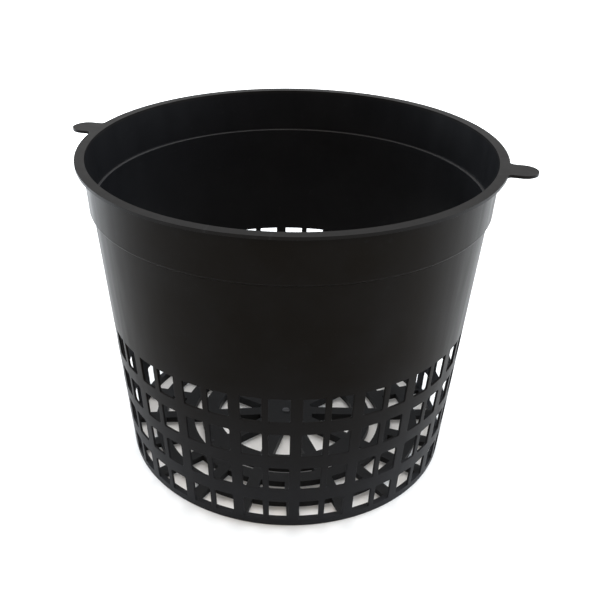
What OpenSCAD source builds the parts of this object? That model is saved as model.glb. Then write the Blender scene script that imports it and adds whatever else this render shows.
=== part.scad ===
// Round mesh pot with a flat rim, two lifting tabs and a grid floor.
// The pot stands on the XY plane with its axis on Z. The tabs lie along X.

/* [Rim] */
// how far the flat rim stands out past the collar
rim_w = 3.5; // [2.5:0.1:10]
// thickness of the rim
rim_t = 1.4; // [1:0.1:2.5]
// overall height of the pot
pot_h = 158.4; // [150:0.4:175]

/* [Tabs] */
// width of a lifting tab
tab_w = 14; // [10:1:20]
// straight length of a tab before its round end
tab_straight = 5.4; // [4:0.2:8]
// thickness of a tab
tab_t = 1.4; // [0.8:0.1:1.4]
// radius of the fillet where a tab meets the rim
tab_fillet = 2; // [1:0.5:3.5]

/* [Collar] */
// outer radius of the collar under the rim
collar_top_r = 96.5; // [90:0.5:104]
// how much narrower the collar is at its foot
collar_draft = 1.3; // [0.5:0.1:2]
// height of the collar, from the ledge inside up to the rim
collar_h = 20.5; // [16:0.5:28]
// how far the wall steps in under the collar
step_in = 1.7; // [1.2:0.1:3]
// height of the step
step_h = 2.6; // [2:0.1:4]
// height of the upright edge on the outside of the step
step_edge = 1.1; // [0.6:0.1:1.6]

/* [Wall] */
// thickness of the collar and of the wall
wall_t = 1.1; // [0.9:0.1:1.6]
// outer radius of the wall where it would meet the ground
base_r = 82.3; // [76:0.5:86]

/* [Mesh] */
// number of window pairs round the pot
pairs = 20; // [16:2:22]
// window width, as an angle seen from the axis
window_angle = 6.3; // [5:0.1:6.6]
// width of the narrow bar between the two windows of a pair, as an angle
bar_angle = 1.9; // [1.4:0.1:2.4]
// angle from the X axis to the middle of the nearest pair
pair_turn = 9; // [0:0.5:18]
// height of the middle of the top row above the ground
top_row_z = 70.6; // [67:0.2:75]
// height from one row of windows to the next
row_pitch = 20.1; // [19:0.1:21]
// window height
window_h = 13.2; // [10:0.1:15]

/* [Foot] */
// height of the foot ring, which is also the sill of the lowest windows
foot_h = 4.4; // [3.8:0.1:5.5]
// height of the windows that stand on the foot ring
low_window_h = 12.2; // [9:0.1:13]
// width of the foot ring measured on the ground
foot_w = 2.3; // [1.8:0.1:4]
// radius of the outer edge at the ground
foot_round = 1.1; // [0.6:0.1:1.6]

/* [Floor] */
// height of the level underside of the floor above the ground
floor_under = 1.8; // [1:0.1:2.6]
// how much higher the hub stands than the edge of the floor
floor_rise = 2.4; // [1:0.1:4]
// radius of the solid hub
hub_r = 14.5; // [12:0.5:18]
// gap between the foot ring and the outer ring
edge_gap = 8.8; // [6:0.1:10]
// width of the outer ring
outer_ring_w = 5.6; // [4:0.1:8]
// gap between the outer ring and the middle ring
outer_gap = 8.6; // [6:0.1:11]
// width of the middle ring
middle_ring_w = 6.6; // [4:0.1:8]
// gap between the middle ring and the inner ring
middle_gap = 4.5; // [3:0.1:8]
// width of the inner ring
inner_ring_w = 9; // [6:0.1:11]
// width of the spokes near the hub
inner_spoke_w = 6.4; // [4:0.1:7]
// width of the spokes near the wall
outer_spoke_w = 6; // [4:0.1:7]
// radius of the small moulding mark on the hub
mark_r = 1.9; // [1:0.1:3]
// height of the small moulding mark
mark_h = 0.9; // [0.5:0.1:1.5]

/* [Hidden] */
$fn = 96;
rim_r = collar_top_r + rim_w;
land_z = pot_h - rim_t;
ledge_z = land_z - collar_h;
collar_foot_r = collar_top_r - collar_draft;
wall_top_r = collar_foot_r - step_in;
wall_top_z = ledge_z - step_h;
wall_slope = (wall_top_r - base_r) / wall_top_z;
pair_angle = 360 / pairs;
window_shift = (window_angle + bar_angle) / 2;
wide_bar_angle = pair_angle - 2 * window_angle - bar_angle;
mesh_top_z = top_row_z + window_h / 2;
bar_1_top = top_row_z - window_h / 2;
bar_1_low = bar_1_top - row_pitch + window_h;
bar_2_top = bar_1_top - row_pitch;
bar_2_low = bar_1_low - row_pitch;
bar_3_top = bar_2_top - row_pitch;
bar_3_low = foot_h + low_window_h;
foot_in_r = base_r - foot_w;
tab_half = tab_w / 2;
fillet_y = tab_half + tab_fillet;
fillet_reach = rim_r + tab_fillet;
fillet_x = sqrt(fillet_reach * fillet_reach - fillet_y * fillet_y);
foot_lean = atan(wall_slope);
foot_round_r = base_r + wall_slope * foot_round - foot_round / cos(foot_lean);
outer_ring_r = foot_in_r - edge_gap - outer_ring_w;
middle_ring_r = outer_ring_r - outer_gap - middle_ring_w;
inner_ring_r = middle_ring_r - middle_gap - inner_ring_w;
floor_slope = floor_rise / (foot_in_r - hub_r);
spoke_turn = pair_turn + pair_angle / 2;
// how far a cutter or a bar reaches past the faces it must cross
pass = 2 * wall_t;

// outer radius of the tapered wall at a height
function wall_r(z) = base_r + wall_slope * z;

// height of the floor's upper face at a radius
function floor_z(r) = foot_h + floor_slope * (foot_in_r - r);

// section through the tapered wall between two heights
module wall_section(low, high) {
    polygon([[wall_r(low) - wall_t, low], [wall_r(low), low],
             [wall_r(high), high], [wall_r(high) - wall_t, high]]);
}

// a stretch of the tapered wall, centred on an angle round the axis
module wall_patch(low, high, middle, angle) {
    color([0.11, 0.11, 0.12])
        rotate([0, 0, middle - angle / 2])
            rotate_extrude(angle = angle)
                wall_section(low, high);
}

// one row of the bars that lie between two rows of windows
module cross_bars(low, high) {
    for (i = [0 : pairs - 1], side = [-1, 1])
        wall_patch(low, high,
                   pair_turn + i * pair_angle + side * window_shift,
                   window_angle);
}

// a ring of the floor between two radii
module floor_ring(inside, outside) {
    rotate_extrude()
        polygon([[inside, floor_under], [outside, floor_under],
                 [outside, floor_z(outside)], [inside, floor_z(inside)]]);
}

// spokes of one width that fill the gap between two radii
module spokes(count, w, inside, outside) {
    color([0.11, 0.11, 0.12])
        intersection() {
            floor_ring(inside, outside);
            for (i = [0 : count - 1])
                rotate([0, 0, spoke_turn + i * 360 / count])
                    translate([inside - pass, -w / 2, 0])
                        cube([outside - inside + 2 * pass, w,
                              foot_h + floor_rise + pass]);
        }
}

// outline of a lifting tab on the positive X side
module tab_outline() {
    difference() {
        union() {
            polygon([[0, 0], [fillet_x, -fillet_y], [fillet_x, fillet_y]]);
            translate([rim_r - tab_half, -tab_half])
                square([tab_half + tab_straight, tab_w]);
            translate([rim_r + tab_straight, 0])
                circle(r = tab_half);
        }
        circle(r = rim_r);
        for (side = [-1, 1])
            translate([fillet_x, side * fillet_y])
                circle(r = tab_fillet);
    }
}

module rim_land() {
    color([0.13, 0.13, 0.14])
        rotate_extrude()
            translate([collar_top_r, land_z])
                square([rim_w, rim_t]);
}

module tab_right() {
    color([0.13, 0.13, 0.14])
        translate([0, 0, pot_h - tab_t])
            linear_extrude(height = tab_t)
                tab_outline();
}

module tab_left() {
    rotate([0, 0, 180])
        tab_right();
}

module collar() {
    color([0.11, 0.11, 0.12])
        rotate_extrude()
            polygon([[collar_foot_r - wall_t, ledge_z],
                     [collar_foot_r, ledge_z],
                     [collar_top_r, land_z],
                     [collar_top_r, pot_h],
                     [collar_top_r - wall_t, pot_h],
                     [collar_top_r - wall_t, land_z]]);
}

module collar_step() {
    color([0.11, 0.11, 0.12])
        rotate_extrude()
            polygon([[wall_top_r - wall_t, wall_top_z],
                     [wall_top_r, wall_top_z],
                     [collar_foot_r, ledge_z - step_edge],
                     [collar_foot_r, ledge_z],
                     [wall_top_r - wall_t, ledge_z]]);
}

module plain_wall() {
    color([0.11, 0.11, 0.12])
        rotate_extrude()
            wall_section(mesh_top_z, wall_top_z);
}

module wide_bars() {
    for (i = [0 : pairs - 1])
        wall_patch(foot_h, mesh_top_z, spoke_turn + i * pair_angle,
                   wide_bar_angle);
}

module narrow_bars() {
    for (i = [0 : pairs - 1])
        wall_patch(foot_h, mesh_top_z, pair_turn + i * pair_angle,
                   bar_angle);
}

module cross_bars_top() {
    cross_bars(bar_1_low, bar_1_top);
}

module cross_bars_middle() {
    cross_bars(bar_2_low, bar_2_top);
}

module cross_bars_low() {
    cross_bars(bar_3_low, bar_3_top);
}

module foot_ring() {
    color([0.11, 0.11, 0.12])
        rotate_extrude() {
            polygon([[foot_in_r, 0], [foot_round_r, 0],
                     [foot_round_r + foot_round * cos(foot_lean),
                      foot_round - foot_round * sin(foot_lean)],
                     [wall_r(foot_h), foot_h], [foot_in_r, foot_h]]);
            translate([foot_round_r, foot_round])
                circle(r = foot_round);
        }
}

module floor_ring_outer() {
    color([0.11, 0.11, 0.12])
        floor_ring(outer_ring_r, outer_ring_r + outer_ring_w);
}

module floor_ring_middle() {
    color([0.11, 0.11, 0.12])
        floor_ring(middle_ring_r, middle_ring_r + middle_ring_w);
}

module floor_ring_inner() {
    color([0.11, 0.11, 0.12])
        floor_ring(inner_ring_r, inner_ring_r + inner_ring_w);
}

module floor_hub() {
    color([0.11, 0.11, 0.12])
        translate([0, 0, floor_under])
            cylinder(h = floor_z(hub_r) - floor_under, r = hub_r);
}

module floor_mark() {
    color([0.13, 0.13, 0.14])
        translate([0, 0, floor_z(hub_r)])
            cylinder(h = mark_h, r = mark_r);
}

module spokes_edge() {
    spokes(pairs, outer_spoke_w, outer_ring_r + outer_ring_w, foot_in_r);
}

module spokes_outer() {
    spokes(pairs, outer_spoke_w, middle_ring_r + middle_ring_w,
           outer_ring_r);
}

module spokes_middle() {
    spokes(pairs / 2, inner_spoke_w, inner_ring_r + inner_ring_w,
           middle_ring_r);
}

module spokes_inner() {
    spokes(pairs / 2, inner_spoke_w, hub_r, inner_ring_r);
}

rim_land();
tab_left();
tab_right();
collar();
collar_step();
plain_wall();
wide_bars();
narrow_bars();
cross_bars_top();
cross_bars_middle();
cross_bars_low();
foot_ring();
floor_ring_outer();
floor_ring_middle();
floor_ring_inner();
floor_hub();
floor_mark();
spokes_edge();
spokes_outer();
spokes_middle();
spokes_inner();
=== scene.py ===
from math import asin, atan2, cos, hypot, pi, radians, sin

import bmesh
import bpy
from mathutils import Matrix, Vector


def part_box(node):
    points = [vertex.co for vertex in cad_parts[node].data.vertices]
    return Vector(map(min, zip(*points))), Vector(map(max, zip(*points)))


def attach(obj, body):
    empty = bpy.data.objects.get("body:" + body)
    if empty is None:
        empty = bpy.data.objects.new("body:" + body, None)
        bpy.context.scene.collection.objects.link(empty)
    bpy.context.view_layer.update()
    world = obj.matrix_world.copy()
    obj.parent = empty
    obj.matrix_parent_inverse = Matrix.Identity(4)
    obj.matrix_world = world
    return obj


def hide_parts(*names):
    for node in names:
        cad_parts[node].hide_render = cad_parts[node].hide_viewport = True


# Dresses the round mesh pot: one black moulding with a flat rim, two lifting
# tabs, a collar, rows of windows in pairs and an open grid floor.

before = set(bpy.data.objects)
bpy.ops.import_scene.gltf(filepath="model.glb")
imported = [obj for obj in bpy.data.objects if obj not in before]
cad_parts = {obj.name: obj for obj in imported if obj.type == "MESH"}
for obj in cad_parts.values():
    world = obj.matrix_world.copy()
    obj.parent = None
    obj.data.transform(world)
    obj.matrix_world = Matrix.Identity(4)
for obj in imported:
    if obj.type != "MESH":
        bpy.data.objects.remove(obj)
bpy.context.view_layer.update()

mm = 0.001
tiny = 0.001 * mm        # closer than this, two points are one
fullTurn = 2 * pi
sharpTurn = radians(40)  # edges that turn more than this are shaded crisp
cornerTurn = 1.0         # edges that turn more than this, in radians, can be rounded
shelfLean = 0.6          # a face that looks up at least this much counts as a shelf, which takes the painted highlight where a piece has one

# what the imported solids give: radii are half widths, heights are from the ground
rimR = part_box("rim_land")[1].y
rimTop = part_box("rim_land")[1].z
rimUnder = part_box("rim_land")[0].z
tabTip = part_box("tab_right")[1].x
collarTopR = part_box("collar")[1].x
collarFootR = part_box("collar_step")[1].x
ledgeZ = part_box("collar_step")[1].z
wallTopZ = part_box("plain_wall")[1].z
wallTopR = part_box("plain_wall")[1].x
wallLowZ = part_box("plain_wall")[0].z
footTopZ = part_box("foot_ring")[1].z
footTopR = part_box("foot_ring")[1].x
wallSlope = (wallTopR - footTopR) / (wallTopZ - footTopZ)

potWall = {
    "thickness": 1.1 * mm,
    "stepEdge": 1.1 * mm,    # upright edge on the outside of the step
    "stepRound": 0.45 * mm,
    "ledgeRound": 0.4 * mm,  # inner lip of the ledge, and the fillet behind it
    "roundSteps": 4,
}

windows = {
    "pairs": 20,
    "turn": radians(9),      # from the X axis to the middle of the first pair
    "width": radians(6.3),
    "narrowBar": radians(1.9),
    "cornerRadius": 0.9 * mm,
    "cornerSteps": 3,
    "lipRound": 0.22 * mm,
    "lipSteps": 2,
    "stepsAcross": 8,
    "stepsWideBar": 2,       # on each side of the wide bar's middle
}


def wallR(z):
    # outer radius of the wall at a height
    return footTopR + wallSlope * (z - footTopZ)


def stationAngles():
    # angles at which every wall piece has a line of points, so that they meet
    pairAngle = fullTurn / windows["pairs"]
    across, inBar = windows["stepsAcross"], windows["stepsWideBar"]
    half = [windows["narrowBar"] / 2 + windows["width"] * i / across
            for i in range(across + 1)]
    rest = pairAngle / 2 - half[-1]
    half += [half[-1] + rest * i / inBar for i in range(1, inBar + 1)]
    cell = [-a for a in reversed(half)] + [0] + half[:-1]
    return [windows["turn"] + pairAngle * k + a
            for k in range(windows["pairs"]) for a in cell]


def inWindow(column):
    # whether the face that starts at this station lies across a window
    across = windows["stepsAcross"]
    inCell = column % (2 * (1 + across + windows["stepsWideBar"]))
    first = windows["stepsWideBar"]
    second = first + across + 2  # past the two halves of the narrow bar
    return first <= inCell < first + across or second <= inCell < second + across


def fromAxis(vert):
    return hypot(vert.co.x, vert.co.y)


def isCorner(edge):
    return len(edge.link_faces) == 2 and edge.calc_face_angle() > cornerTurn


def flatGrid(columns, rows):
    # a flat sheet one unit wide and high, to be laid round the axis
    bm = bmesh.new()
    bmesh.ops.create_grid(bm, x_segments=columns, y_segments=rows, size=0.5)
    return bm


def cutGrid(bm, columns, rows, isOpen):
    # takes out the faces of a flat grid whose column and row are open
    gone = []
    for face in bm.faces:
        centre = face.calc_center_median()
        if isOpen(int((centre.x + 0.5) * columns), int((centre.y + 0.5) * rows)):
            gone.append(face)
    bmesh.ops.delete(bm, geom=gone, context="FACES")


def wrap(bm, columns, rows, place):
    # moves each point of a flat grid to where its column and its row belong
    for v in bm.verts:
        v.co = place(round((v.co.x + 0.5) * columns) % columns,
                     round((v.co.y + 0.5) * rows))
    bmesh.ops.remove_doubles(bm, verts=bm.verts, dist=tiny)
    bmesh.ops.recalc_face_normals(bm, faces=bm.faces)


def thicken(bm, move):
    # gives a sheet its second face, moved from the first, and its sides
    grown = bmesh.ops.extrude_face_region(bm, geom=bm.faces[:], use_keep_orig=True)
    for v in grown["geom"]:
        if isinstance(v, bmesh.types.BMVert):
            v.co = move(v.co)
    bmesh.ops.recalc_face_normals(bm, faces=bm.faces)


def roundEdges(bm, edges, radius, steps):
    bmesh.ops.bevel(bm, geom=edges, offset=radius, offset_type="OFFSET", segments=steps,
                    profile=0.5, affect="EDGES", clamp_overlap=True, material=-1)


def arc(centre, radius, start, end, steps):
    # points of an arc in a profile, both ends kept
    return [(centre[0] + radius * cos(start + (end - start) * i / steps),
             centre[1] + radius * sin(start + (end - start) * i / steps))
            for i in range(steps + 1)]


def ring(profile):
    # a closed ring with the profile (radius, height) all the way round
    angles = stationAngles()
    loop = profile + profile[:1]
    columns, rows = len(angles), len(profile)
    bm = flatGrid(columns, rows)
    wrap(bm, columns, rows, lambda i, j: Vector((loop[j][0] * cos(angles[i]),
                                                 loop[j][0] * sin(angles[i]), loop[j][1])))
    return bm


# finishes of the moulded plastic; their tints are one black plastic, painted lighter or darker
# by how light falls on each part
finishes = {
    # outside of the wall: dark, warm brown tint, painted shade with a painted warm reflection
    # from the front
    "wall": {"tint": (0.0034, 0.0024, 0.0014, 1), "dustAndReflectionTint": (0.0172, 0.0178, 0.02, 1),
             "roughness": 0.34, "grainSize": 1500.0, "grainDepth": 0.03 * mm,
             "scuffs": 0.12, "floorReflection": 0.8},
    # inside of the wall: lighter, cooler tint, painted light falling in from above
    "inside": {"tint": (0.0056, 0.0057, 0.0064, 1), "dustAndReflectionTint": (0.018, 0.018, 0.0195, 1),
               "roughness": 0.36, "grainSize": 1500.0, "grainDepth": 0.03 * mm,
               "scuffs": 0.2, "floorReflection": 0.8},
    # ledge and moulding mark: light tint, a painted highlight of light from above and a
    # painted glint
    "paintedHighlight": {"tint": (0.048, 0.048, 0.05, 1), "dustAndReflectionTint": (0.08, 0.08, 0.082, 1),
              "roughness": 0.34, "grainSize": 1500.0, "grainDepth": 0.03 * mm,
              "scuffs": 0.3, "floorReflection": 0.0},
    # rim and tabs: tint lighter than the wall's, painted light and reflection on the rim's
    # top; the heavier scuffs are wear
    "rim": {"tint": (0.0092, 0.0087, 0.0086, 1), "dustAndReflectionTint": (0.026, 0.026, 0.027, 1),
            "roughness": 0.33, "grainSize": 1700.0, "grainDepth": 0.03 * mm,
            "scuffs": 0.4, "floorReflection": 0.0},
    # floor grid: tint lighter than the wall's, painted light on its upward faces
    "floor": {"tint": (0.011, 0.011, 0.0112, 1), "dustAndReflectionTint": (0.02, 0.02, 0.021, 1),
              "roughness": 0.38, "grainSize": 1300.0, "grainDepth": 0.04 * mm,
              "scuffs": 0.3, "floorReflection": 0.4},
}

# what all finishes share; four numbers in a row turn the first two into the last two
mouldedSkin = {
    "grain": {"Detail": 3.0, "Roughness": 0.6},
    "mottle": {"Scale": 38.0, "Detail": 4.0, "Roughness": 0.55},
    "mottleToDust": (0.38, 0.72, 0.0, 0.14),
    "flow": {"Scale": 170.0, "Detail": 3.0, "Roughness": 0.5},
    "flowStretch": {"Scale": (1, 1, 0.06)},  # flow marks run up the wall
    "flowToRoughness": (0.3, 0.7, -0.045, 0.055),
    "flowWaves": 1.6,                        # their height against the grain's
    "streaks": {"Scale": 420.0, "Detail": 2.0, "Distortion": 0.6},
    "streakStretch": {"Rotation": (radians(25), radians(40), radians(15)),
                      "Scale": (1, 0.12, 1)},
    "streaksToScuffs": (0.66, 0.74, 0.0, 1.0),
    # painted floor reflection: lighter from this height down to the foot
    "heightToFloorReflection": (0.085, 0.006, 0.0, 1.0),
    "dustRoughness": 0.09,
    "bumpStrength": 0.5,
    "refraction": 1.49,
    "specular": 0.042,
}

# sockets of the shared group, with the entry of a finish that each one takes
skinSockets = (("Tint", "tint", "NodeSocketColor"), ("Dust And Reflection Tint", "dustAndReflectionTint", "NodeSocketColor"),
               ("Roughness", "roughness", "NodeSocketFloat"),
               ("Grain Size", "grainSize", "NodeSocketFloat"),
               ("Scuffs", "scuffs", "NodeSocketFloat"),
               ("Floor Reflection", "floorReflection", "NodeSocketFloat"))


def addNode(tree, kind, **values):
    made = tree.nodes.new(kind)
    for key, value in values.items():
        if key in made.inputs:
            made.inputs[key].default_value = value
        else:
            setattr(made, key, value)
    return made


def addMath(tree, operation, *terms, clamp=False):
    # a sum of sockets and plain numbers
    made = addNode(tree, "ShaderNodeMath", operation=operation, use_clamp=clamp)
    for socket, term in zip(made.inputs, terms):
        if isinstance(term, float):
            socket.default_value = term
        else:
            tree.links.new(term, socket)
    return made.outputs["Value"]


def addRange(tree, source, fromMin, fromMax, toMin, toMax):
    made = addNode(tree, "ShaderNodeMapRange", clamp=True)
    for key, value in (("From Min", fromMin), ("From Max", fromMax),
                       ("To Min", toMin), ("To Max", toMax)):
        made.inputs[key].default_value = value
    tree.links.new(source, made.inputs["Value"])
    return made.outputs["Result"]


def addNoise(tree, place, look, stretch=None):
    # a noise on the given place, which is turned and stretched first where asked
    if stretch:
        mapping = addNode(tree, "ShaderNodeMapping", **stretch)
        tree.links.new(place, mapping.inputs["Vector"])
        place = mapping.outputs["Vector"]
    made = addNode(tree, "ShaderNodeTexNoise", **look)
    tree.links.new(place, made.inputs["Vector"])
    return made


def mouldedSkinGroup():
    # grain, slow mottling, long flow marks, fine scuffs and dust of moulded plastic, with a
    # painted floor reflection lightening it towards the foot
    look = mouldedSkin
    tree = bpy.data.node_groups.new("mouldedSkin", "ShaderNodeTree")
    link = tree.links.new
    for label, entry, kind in skinSockets:
        tree.interface.new_socket(name=label, in_out="INPUT", socket_type=kind)
    for label, kind in (("Color", "NodeSocketColor"), ("Roughness", "NodeSocketFloat"),
                        ("Height", "NodeSocketFloat")):
        tree.interface.new_socket(name=label, in_out="OUTPUT", socket_type=kind)
    given = addNode(tree, "NodeGroupInput").outputs
    result = addNode(tree, "NodeGroupOutput").inputs
    place = addNode(tree, "ShaderNodeTexCoord").outputs["Object"]
    grain = addNoise(tree, place, look["grain"])
    link(given["Grain Size"], grain.inputs["Scale"])
    mottle = addNoise(tree, place, look["mottle"]).outputs["Fac"]
    flow = addNoise(tree, place, look["flow"], look["flowStretch"]).outputs["Fac"]
    streaks = addNoise(tree, place, look["streaks"], look["streakStretch"]).outputs["Fac"]

    # dust gathers in the mottles and in the scuffs; towards the foot the same lighter tint is
    # a painted floor reflection
    scuffs = addMath(tree, "MULTIPLY", addRange(tree, streaks, *look["streaksToScuffs"]),
                     given["Scuffs"])
    part = addNode(tree, "ShaderNodeSeparateXYZ")
    link(place, part.inputs["Vector"])
    low = addRange(tree, part.outputs["Z"], *look["heightToFloorReflection"])
    reflectionAndScuffs = addMath(tree, "MULTIPLY_ADD", low, given["Floor Reflection"], scuffs)
    patches = addRange(tree, mottle, *look["mottleToDust"])
    dustAndReflection = addMath(tree, "ADD", patches, reflectionAndScuffs, clamp=True)

    colour = addNode(tree, "ShaderNodeMix", data_type="RGBA")
    link(dustAndReflection, colour.inputs["Factor"])
    link(given["Tint"], colour.inputs["A"])
    link(given["Dust And Reflection Tint"], colour.inputs["B"])
    link(colour.outputs["Result"], result["Color"])

    # the given roughness sways with the flow and rises with the dust and the painted floor
    # reflection
    sway = addRange(tree, flow, *look["flowToRoughness"])
    rough = addMath(tree, "ADD", given["Roughness"], sway)
    link(addMath(tree, "MULTIPLY_ADD", dustAndReflection, look["dustRoughness"], rough),
         result["Roughness"])

    # fine grain over the slow waves of the flow
    link(addMath(tree, "MULTIPLY_ADD", flow, look["flowWaves"], grain.outputs["Fac"]),
         result["Height"])
    return tree


def plasticMaterial(name, skin, finish):
    material = bpy.data.materials.new(name)
    material.use_nodes = True
    tree = material.node_tree
    link = tree.links.new
    shader = tree.nodes["Principled BSDF"].inputs
    shader["IOR"].default_value = mouldedSkin["refraction"]
    shader["Specular IOR Level"].default_value = mouldedSkin["specular"]
    group = addNode(tree, "ShaderNodeGroup", node_tree=skin)
    for label, entry, kind in skinSockets:
        group.inputs[label].default_value = finish[entry]
    bump = addNode(tree, "ShaderNodeBump", Strength=mouldedSkin["bumpStrength"],
                   Distance=finish["grainDepth"])
    link(group.outputs["Color"], shader["Base Color"])
    link(group.outputs["Roughness"], shader["Roughness"])
    link(group.outputs["Height"], bump.inputs["Height"])
    link(bump.outputs["Normal"], shader["Normal"])
    return material


skinGroup = mouldedSkinGroup()
plastics = {name: plasticMaterial(name + "Plastic", skinGroup, finish)
            for name, finish in finishes.items()}
print("materials ready")


def finishPiece(name, bm, nodes, looks):
    # makes the object, shades it and lets it ride on the pot's body; the looks are the
    # materials of faces that look outwards, then inwards, then up, where they differ: the
    # outward and inward looks are shaded and lit copies of one plastic, and the upward look is
    # a painted highlight
    mesh = bpy.data.meshes.new(name)
    bm.to_mesh(mesh)
    bm.free()
    mesh.shade_smooth()
    mesh.set_sharp_from_angle(angle=sharpTurn)
    for look in looks:
        mesh.materials.append(plastics[look])
    for face in mesh.polygons:
        if len(looks) > 2 and face.normal.z > shelfLean:
            face.material_index = 2
        elif len(looks) > 1 and face.normal.xy.dot(face.center.xy) < 0:
            face.material_index = 1
    piece = bpy.data.objects.new(name, mesh)
    bpy.context.scene.collection.objects.link(piece)
    even = piece.modifiers.new("evenShading", "WEIGHTED_NORMAL")
    even.keep_sharp = True
    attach(piece, "root")
    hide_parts(*nodes)
    print("piece", name, len(mesh.polygons), "faces")


# rim with its two tabs
rim = {
    "tabWidth": 14 * mm,
    "tabFillet": 2 * mm,
    "edgeRound": 0.4 * mm,
    "edgeSteps": 3,
    "stepsAcrossTab": 20,
    "stepsBetweenTabs": 220,
    "filletSteps": 8,
    "tipSteps": 28,
    "rootSlack": 1e-4,  # radians that a tab's root may be off
}


def swing(bm, vert, centre, angle, steps):
    # carries a point round an upright line, and returns where it ends
    swept = bmesh.ops.spin(bm, geom=[vert], cent=centre, axis=Vector((0, 0, 1)), angle=angle,
                           steps=steps)
    return next(g for g in swept["geom_last"] if isinstance(g, bmesh.types.BMVert))


def draw(bm, vert, to):
    # a straight line from a point, and returns where it ends
    grown = bmesh.ops.extrude_vert_indiv(bm, verts=[vert])["verts"][0]
    grown.co = to
    return grown


def drawTab(bm, side, fillet, rootAngle):
    # the outline of one tab: fillet, edge, round tip, edge and fillet
    around = Matrix.Rotation(side, 3, "Z")

    def at(x, y):
        return around @ Vector((x, y, rimTop))

    half = rim["tabWidth"] / 2
    tipX = tabTip - half
    filletTurn = -(pi / 2 - rootAngle)
    root = at(rimR * cos(rootAngle), -rimR * sin(rootAngle))
    walk = min(bm.verts, key=lambda v: (v.co - root).length)
    walk = swing(bm, walk, at(fillet[0], -fillet[1]), filletTurn, rim["filletSteps"])
    walk = draw(bm, walk, at(tipX, -half))
    walk = swing(bm, walk, at(tipX, 0), pi, rim["tipSteps"])
    walk = draw(bm, walk, at(fillet[0], half))
    swing(bm, walk, at(*fillet), filletTurn, rim["filletSteps"])


def makeRim():
    filletY = rim["tabWidth"] / 2 + rim["tabFillet"]
    filletX = ((rimR + rim["tabFillet"]) ** 2 - filletY ** 2) ** 0.5
    rootAngle = atan2(filletY, filletX)
    across, between = rim["stepsAcrossTab"], rim["stepsBetweenTabs"]
    angles = [-rootAngle + 2 * rootAngle * i / across for i in range(across)]
    angles += [rootAngle + (pi - 2 * rootAngle) * i / between for i in range(between)]
    angles += [a + pi for a in angles]
    radii = [collarTopR - potWall["thickness"], rimR]
    columns = len(angles)
    bm = flatGrid(columns, 1)
    wrap(bm, columns, 1, lambda i, j: Vector((radii[j] * cos(angles[i]),
                                              radii[j] * sin(angles[i]), rimTop)))
    for side in (0, pi):
        drawTab(bm, side, (filletX, filletY), rootAngle)
    bmesh.ops.remove_doubles(bm, verts=bm.verts, dist=tiny)
    outline = [e for e in bm.edges if not e.link_faces]
    outline += [e for e in bm.edges if len(e.link_faces) == 1
                and all(abs(fromAxis(v) - rimR) < tiny for v in e.verts)
                and all(abs(atan2(v.co.y, abs(v.co.x))) < rootAngle + rim["rootSlack"]
                        for v in e.verts)]
    for side in (1, -1):
        bmesh.ops.contextual_create(bm, geom=[e for e in outline
                                              if e.verts[0].co.x * side > 0])
    bmesh.ops.recalc_face_normals(bm, faces=bm.faces)
    thicken(bm, lambda co: Vector((co.x, co.y, rimUnder)))

    def onCollar(edge):
        # the lower inner edge lies on the collar and stays as it is
        return (min(fromAxis(v) for v in edge.verts) < rimR - tiny
                and edge.verts[0].co.z < rimTop - tiny)

    roundEdges(bm, [e for e in bm.edges if isCorner(e) and not onCollar(e)],
               rim["edgeRound"], rim["edgeSteps"])
    finishPiece("rimWithTabs", bm, ["rim_land", "tab_left", "tab_right"], ["rim"])


makeRim()


# collar, step and plain wall
def makeCollar():
    t, fillet = potWall["thickness"], potWall["ledgeRound"]
    slope = (collarTopR - collarFootR) / (rimUnder - ledgeZ)
    footIn = collarFootR - t
    behind = arc((footIn - fillet, ledgeZ + fillet), fillet, 0, -pi / 2,
                 potWall["roundSteps"])
    behind = [(r + slope * (z - ledgeZ), z) for r, z in behind]
    bm = ring([(collarFootR, ledgeZ), (collarTopR, rimUnder), (collarTopR - t, rimUnder)]
              + behind)
    finishPiece("collarWall", bm, ["collar"], ["wall", "inside"])


def makeStep():
    lip, steps = potWall["ledgeRound"], potWall["roundSteps"]
    edge, curve = potWall["stepEdge"], potWall["stepRound"]
    inner = wallTopR - potWall["thickness"]
    top = arc((inner + lip, ledgeZ - lip), lip, pi, pi / 2, steps)
    # the outer lower corner is eased where the slope meets the upright edge
    corner = Vector((collarFootR, ledgeZ - edge))
    towards = (Vector((wallTopR, wallTopZ)) - corner).normalized()
    eased = [(corner + Vector((0, curve)) * (1 - s) ** 2 + towards * curve * s ** 2).to_tuple()
             for s in (i / steps for i in range(steps + 1))]
    bm = ring([(inner, wallTopZ)] + top + [(collarFootR, ledgeZ)] + eased
              + [(wallTopR, wallTopZ)])
    # the ledge looks up and takes the painted highlight in its tint
    finishPiece("collarStep", bm, ["collar_step"], ["wall", "inside", "paintedHighlight"])


def makePlainWall():
    t = potWall["thickness"]
    bm = ring([(wallR(wallLowZ), wallLowZ), (wallTopR, wallTopZ), (wallTopR - t, wallTopZ),
               (wallR(wallLowZ) - t, wallLowZ)])
    finishPiece("plainWall", bm, ["plain_wall"], ["wall", "inside"])


makeCollar()
makeStep()
makePlainWall()


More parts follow.
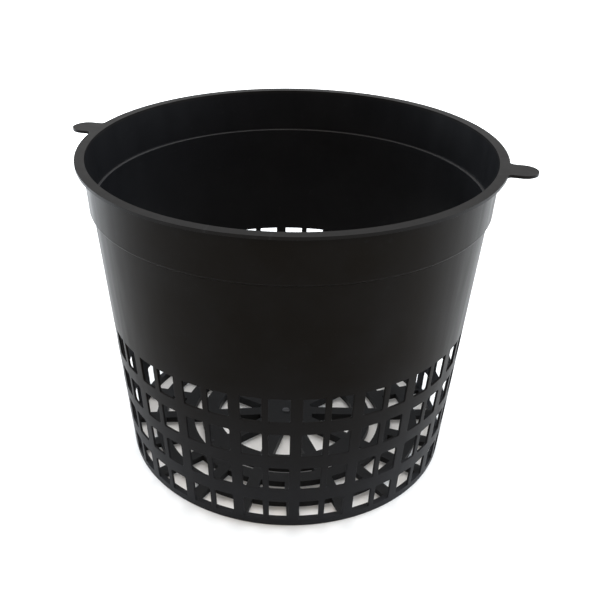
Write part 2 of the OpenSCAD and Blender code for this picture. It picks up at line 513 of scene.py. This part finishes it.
# mesh of windows, one piece from the foot ring to the plain wall
def makeMesh():
    heights = [footTopZ]
    for bars in ("cross_bars_low", "cross_bars_middle", "cross_bars_top"):
        heights += [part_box(bars)[0].z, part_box(bars)[1].z]
    heights.append(wallLowZ)
    angles = stationAngles()
    columns, rows = len(angles), len(heights) - 1
    bm = flatGrid(columns, rows)
    cutGrid(bm, columns, rows, lambda column, row: row % 2 == 0 and inWindow(column))
    wrap(bm, columns, rows, lambda i, j: Vector((wallR(heights[j]) * cos(angles[i]),
                                                 wallR(heights[j]) * sin(angles[i]),
                                                 heights[j])))

    def inwards(co):
        r = hypot(co.x, co.y)
        share = (r - potWall["thickness"]) / r
        return Vector((co.x * share, co.y * share, co.z))

    thicken(bm, inwards)

    def turning():
        # corners of the bars, without the edges that meet the foot and the plain wall
        return [e for e in bm.edges if isCorner(e)
                and any(footTopZ + tiny < v.co.z for v in e.verts)
                and any(v.co.z < wallLowZ - tiny for v in e.verts)]

    corners = [e for e in turning() if abs(e.verts[0].co.z - e.verts[1].co.z) < tiny
               and abs(e.calc_length() - potWall["thickness"]) < tiny]
    roundEdges(bm, corners, windows["cornerRadius"], windows["cornerSteps"])
    roundEdges(bm, turning(), windows["lipRound"], windows["lipSteps"])
    finishPiece("windowMesh", bm, [
        "wide_bars", "narrow_bars", "cross_bars_top", "cross_bars_middle", "cross_bars_low"],
        ["wall", "inside"])


makeMesh()

# foot ring
foot = {
    "innerR": 80 * mm,
    "outerRound": 1.1 * mm,
    "outerSteps": 6,
    "innerRound": 0.35 * mm,
    "innerSteps": 3,
}


def makeFoot():
    curve, small = foot["outerRound"], foot["innerRound"]
    lean = atan2(wallSlope, 1)
    centreR = wallR(curve) - curve / cos(lean)
    outer = arc((centreR, curve), curve, -pi / 2, -lean, foot["outerSteps"])
    inner = arc((foot["innerR"] + small, small), small, pi, 1.5 * pi, foot["innerSteps"])
    bm = ring([(foot["innerR"], footTopZ)] + inner + outer + [(footTopR, footTopZ)])
    finishPiece("footRing", bm, ["foot_ring"], ["wall", "inside"])


makeFoot()

# floor grid
floorGrid = {
    "hubR": 14.5 * mm,
    "innerRing": (36.9 * mm, 45.9 * mm),
    "middleRing": (50.4 * mm, 57 * mm),
    "outerRing": (65.6 * mm, 71.2 * mm),
    "innerSpoke": 6.4 * mm,
    "outerSpoke": 6 * mm,
    "edgeRound": 0.2 * mm,
    "edgeSteps": 2,
    "wallMargin": 0.1 * mm,  # edges that end nearer to the foot ring stay as they are
    "stepsAcrossGap": 5,
    "stepsAcrossSpoke": 2,
}


def makeFloor():
    count = windows["pairs"]
    pitch = fullTurn / count
    hubR, wallAt = floorGrid["hubR"], foot["innerR"]
    radii = [0, hubR, *floorGrid["innerRing"], *floorGrid["middleRing"],
             *floorGrid["outerRing"], wallAt]
    lastInner = 4  # rows up to here carry the inner spokes, at every other place
    under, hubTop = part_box("floor_hub")[0].z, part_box("floor_hub")[1].z
    rise = (hubTop - footTopZ) / (wallAt - hubR)
    spokeSteps, gapSteps = floorGrid["stepsAcrossSpoke"], floorGrid["stepsAcrossGap"]
    perSpoke = spokeSteps + gapSteps
    columns, rows = count * perSpoke, len(radii) - 1

    def edges(spoke, row):
        # angles of a spoke's two sides at a row
        r = max(radii[row], hubR)
        middle = windows["turn"] + pitch * (spoke + 0.5)
        if row > lastInner:
            half = asin(floorGrid["outerSpoke"] / 2 / r)
        else:
            half = asin(floorGrid["innerSpoke"] / 2 / r)
            if spoke % 2:  # no spoke here: its lines share out the gap
                half = (pitch - half) * spokeSteps / (spokeSteps + 2 * gapSteps)
        return middle - half, middle + half

    def place(i, j):
        spoke, k = divmod(i, perSpoke)
        start, end = edges(spoke, j)
        if k <= spokeSteps:
            angle = start + (end - start) * k / spokeSteps
        else:
            following = edges((spoke + 1) % count, j)[0]
            following += fullTurn if spoke + 1 == count else 0
            angle = end + (following - end) * (k - spokeSteps) / gapSteps
        r = radii[j]
        return Vector((r * cos(angle), r * sin(angle), hubTop - rise * max(0, r - hubR)))

    def isOpen(column, row):
        # every other row lies between rings, with openings between its spokes
        spoke, k = divmod(column, perSpoke)
        onSpoke = k < spokeSteps and not (row < lastInner and spoke % 2)
        return row % 2 == 1 and not onSpoke

    bm = flatGrid(columns, rows)
    cutGrid(bm, columns, rows, isOpen)
    wrap(bm, columns, rows, place)
    thicken(bm, lambda co: Vector((co.x, co.y, under)))
    lips = [e for e in bm.edges if isCorner(e)
            and abs(e.verts[0].co.z - e.verts[1].co.z) < (footTopZ - under) / 2
            and min(fromAxis(v) for v in e.verts) < wallAt - floorGrid["wallMargin"]]
    roundEdges(bm, lips, floorGrid["edgeRound"], floorGrid["edgeSteps"])
    finishPiece("floorGrid", bm, [
        "floor_hub", "floor_ring_inner", "floor_ring_middle", "floor_ring_outer",
        "spokes_inner", "spokes_middle", "spokes_outer", "spokes_edge"], ["floor"])


makeFloor()

# moulding mark, the small stub left in the middle of the hub
mark = {
    "steps": 24,
    "domed": 0.35,  # share of its height
    "dome": ((0, 0), (0.45, 0.15), (0.8, 0.5), (1, 1)),  # shares out from the axis and down
}


def makeMark():
    low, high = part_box("floor_mark")
    r, depth = high.x, (high.z - low.z) * mark["domed"]
    profile = [(r * out, high.z - depth * down) for out, down in mark["dome"]]
    profile += [(r, low.z), (0, low.z)]
    bm = bmesh.new()
    line = [bm.verts.new((x, 0, z)) for x, z in profile]
    for a, b in zip(line, line[1:]):
        bm.edges.new((a, b))
    bmesh.ops.spin(bm, geom=bm.verts[:] + bm.edges[:], cent=(0, 0, 0), axis=(0, 0, 1),
                   angle=fullTurn, steps=mark["steps"], use_merge=True)
    bmesh.ops.remove_doubles(bm, verts=bm.verts, dist=tiny)
    bmesh.ops.recalc_face_normals(bm, faces=bm.faces)
    # the mark's light tint is a painted glint
    finishPiece("hubMark", bm, ["floor_mark"], ["paintedHighlight"])


makeMark()

# studio: pale floor, white surroundings, soft lamps
studio = {
    "white": (1, 1, 1, 1),
    "floorColour": (0.86, 0.86, 0.86, 1),
    "floorRoughness": 0.9,
    "floorHalf": 3.0,
    "glowReach": (0.08, 0.6),  # from the pot's axis, where the glow starts and stops growing
    "floorGlow": (0.1, 1.0),   # share of plain white shown to the eye, near and far
    "surroundLight": 0.4,      # strength of the surroundings as a light
    "lampsAim": (0, 0, 0.08),
}

lamps = {
    "left": {"place": (-0.8, 0.15, 0.2), "size": (0.9, 0.5), "power": 19.0,
             "tint": (0.84, 0.92, 1)},
    "right": {"place": (0.8, 0.35, 0.34), "size": (0.8, 0.6), "power": 14.5,
              "tint": (0.84, 0.92, 1)},
    "above": {"place": (0.0, 0.3, 1.2), "size": (1.1, 1.1), "power": 8.0,
              "tint": (1, 0.98, 0.95)},
    "front": {"place": (0.15, -0.85, 0.8), "size": (0.5, 0.5), "power": 3.2,
              "tint": (1, 0.84, 0.66)},
}


def whiteToTheEye(tree):
    # 1 for rays from the camera, from gloss and through glass, 0 for others
    path = addNode(tree, "ShaderNodeLightPath").outputs
    seen = addMath(tree, "MAXIMUM", path["Is Camera Ray"], path["Is Glossy Ray"])
    return addMath(tree, "MAXIMUM", seen, path["Is Transmission Ray"])


def makeSurroundings():
    world = bpy.data.worlds.new("studioWorld")
    bpy.context.scene.world = world
    world.use_nodes = True
    tree = world.node_tree
    background = tree.nodes["Background"].inputs
    background["Color"].default_value = studio["white"]
    tree.links.new(addRange(tree, whiteToTheEye(tree), 0.0, 1.0, studio["surroundLight"], 1.0),
                   background["Strength"])


def makeGround():
    bm = bmesh.new()
    bmesh.ops.create_grid(bm, x_segments=1, y_segments=1, size=studio["floorHalf"])
    mesh = bpy.data.meshes.new("studioFloor")
    bm.to_mesh(mesh)
    bm.free()
    floor = bpy.data.objects.new("studioFloor", mesh)
    bpy.context.scene.collection.objects.link(floor)
    material = bpy.data.materials.new("paleFloor")
    material.use_nodes = True
    mesh.materials.append(material)
    tree = material.node_tree
    shader = tree.nodes["Principled BSDF"].inputs
    shader["Base Color"].default_value = studio["floorColour"]
    shader["Roughness"].default_value = studio["floorRoughness"]
    shader["Specular IOR Level"].default_value = 0.0
    shader["Emission Color"].default_value = studio["white"]
    place = addNode(tree, "ShaderNodeTexCoord").outputs["Object"]
    away = addNode(tree, "ShaderNodeVectorMath", operation="LENGTH")
    tree.links.new(place, away.inputs[0])
    grow = addRange(tree, away.outputs["Value"], *studio["glowReach"], *studio["floorGlow"])
    tree.links.new(addMath(tree, "MULTIPLY", grow, whiteToTheEye(tree)),
                   shader["Emission Strength"])


def makeLamps():
    for name, lamp in lamps.items():
        data = bpy.data.lights.new("lamp_" + name, "AREA")
        data.shape = "RECTANGLE"
        data.size, data.size_y = lamp["size"]
        data.energy = lamp["power"]
        data.color = lamp["tint"]
        obj = bpy.data.objects.new("lamp_" + name, data)
        obj.location = lamp["place"]
        obj.rotation_mode = "QUATERNION"
        aim = Vector(studio["lampsAim"]) - obj.location
        obj.rotation_quaternion = aim.to_track_quat("-Z", "Y")
        bpy.context.scene.collection.objects.link(obj)


makeSurroundings()
makeGround()
makeLamps()
print("studio ready")

# camera, where the photograph was taken from
view = {
    "distance": 0.49321,         # from the middle of the pot's foot
    "azimuth": radians(14.934),
    "elevation": radians(36.829),
    "heading": radians(17.021),
    "tiltDown": radians(28.392),
    "roll": radians(0.022),
    "lens": 52.812,
    "sensor": 36.0,
    "shift": (0.0669, -0.0174),  # the picture's frame sits this far off the lens axis
    "clip": (0.02, 20),
}


def makeCamera():
    data = bpy.data.cameras.new("photoCamera")
    data.sensor_width = view["sensor"]
    data.lens = view["lens"]
    data.clip_start, data.clip_end = view["clip"]
    data.shift_x, data.shift_y = view["shift"]
    data.dof.use_dof = False
    camera = bpy.data.objects.new("photoCamera", data)
    bpy.context.scene.collection.objects.link(camera)
    away = view["distance"] * cos(view["elevation"])
    spot = Vector((away * sin(view["azimuth"]), -away * cos(view["azimuth"]),
                   view["distance"] * sin(view["elevation"])))
    camera.matrix_world = (Matrix.Translation(spot)
                           @ Matrix.Rotation(view["heading"], 4, "Z")
                           @ Matrix.Rotation(pi / 2 - view["tiltDown"], 4, "X")
                           @ Matrix.Rotation(view["roll"], 4, "Z"))
    bpy.context.scene.camera = camera
    bpy.context.scene.view_settings.view_transform = "Standard"


makeCamera()
print("camera ready")
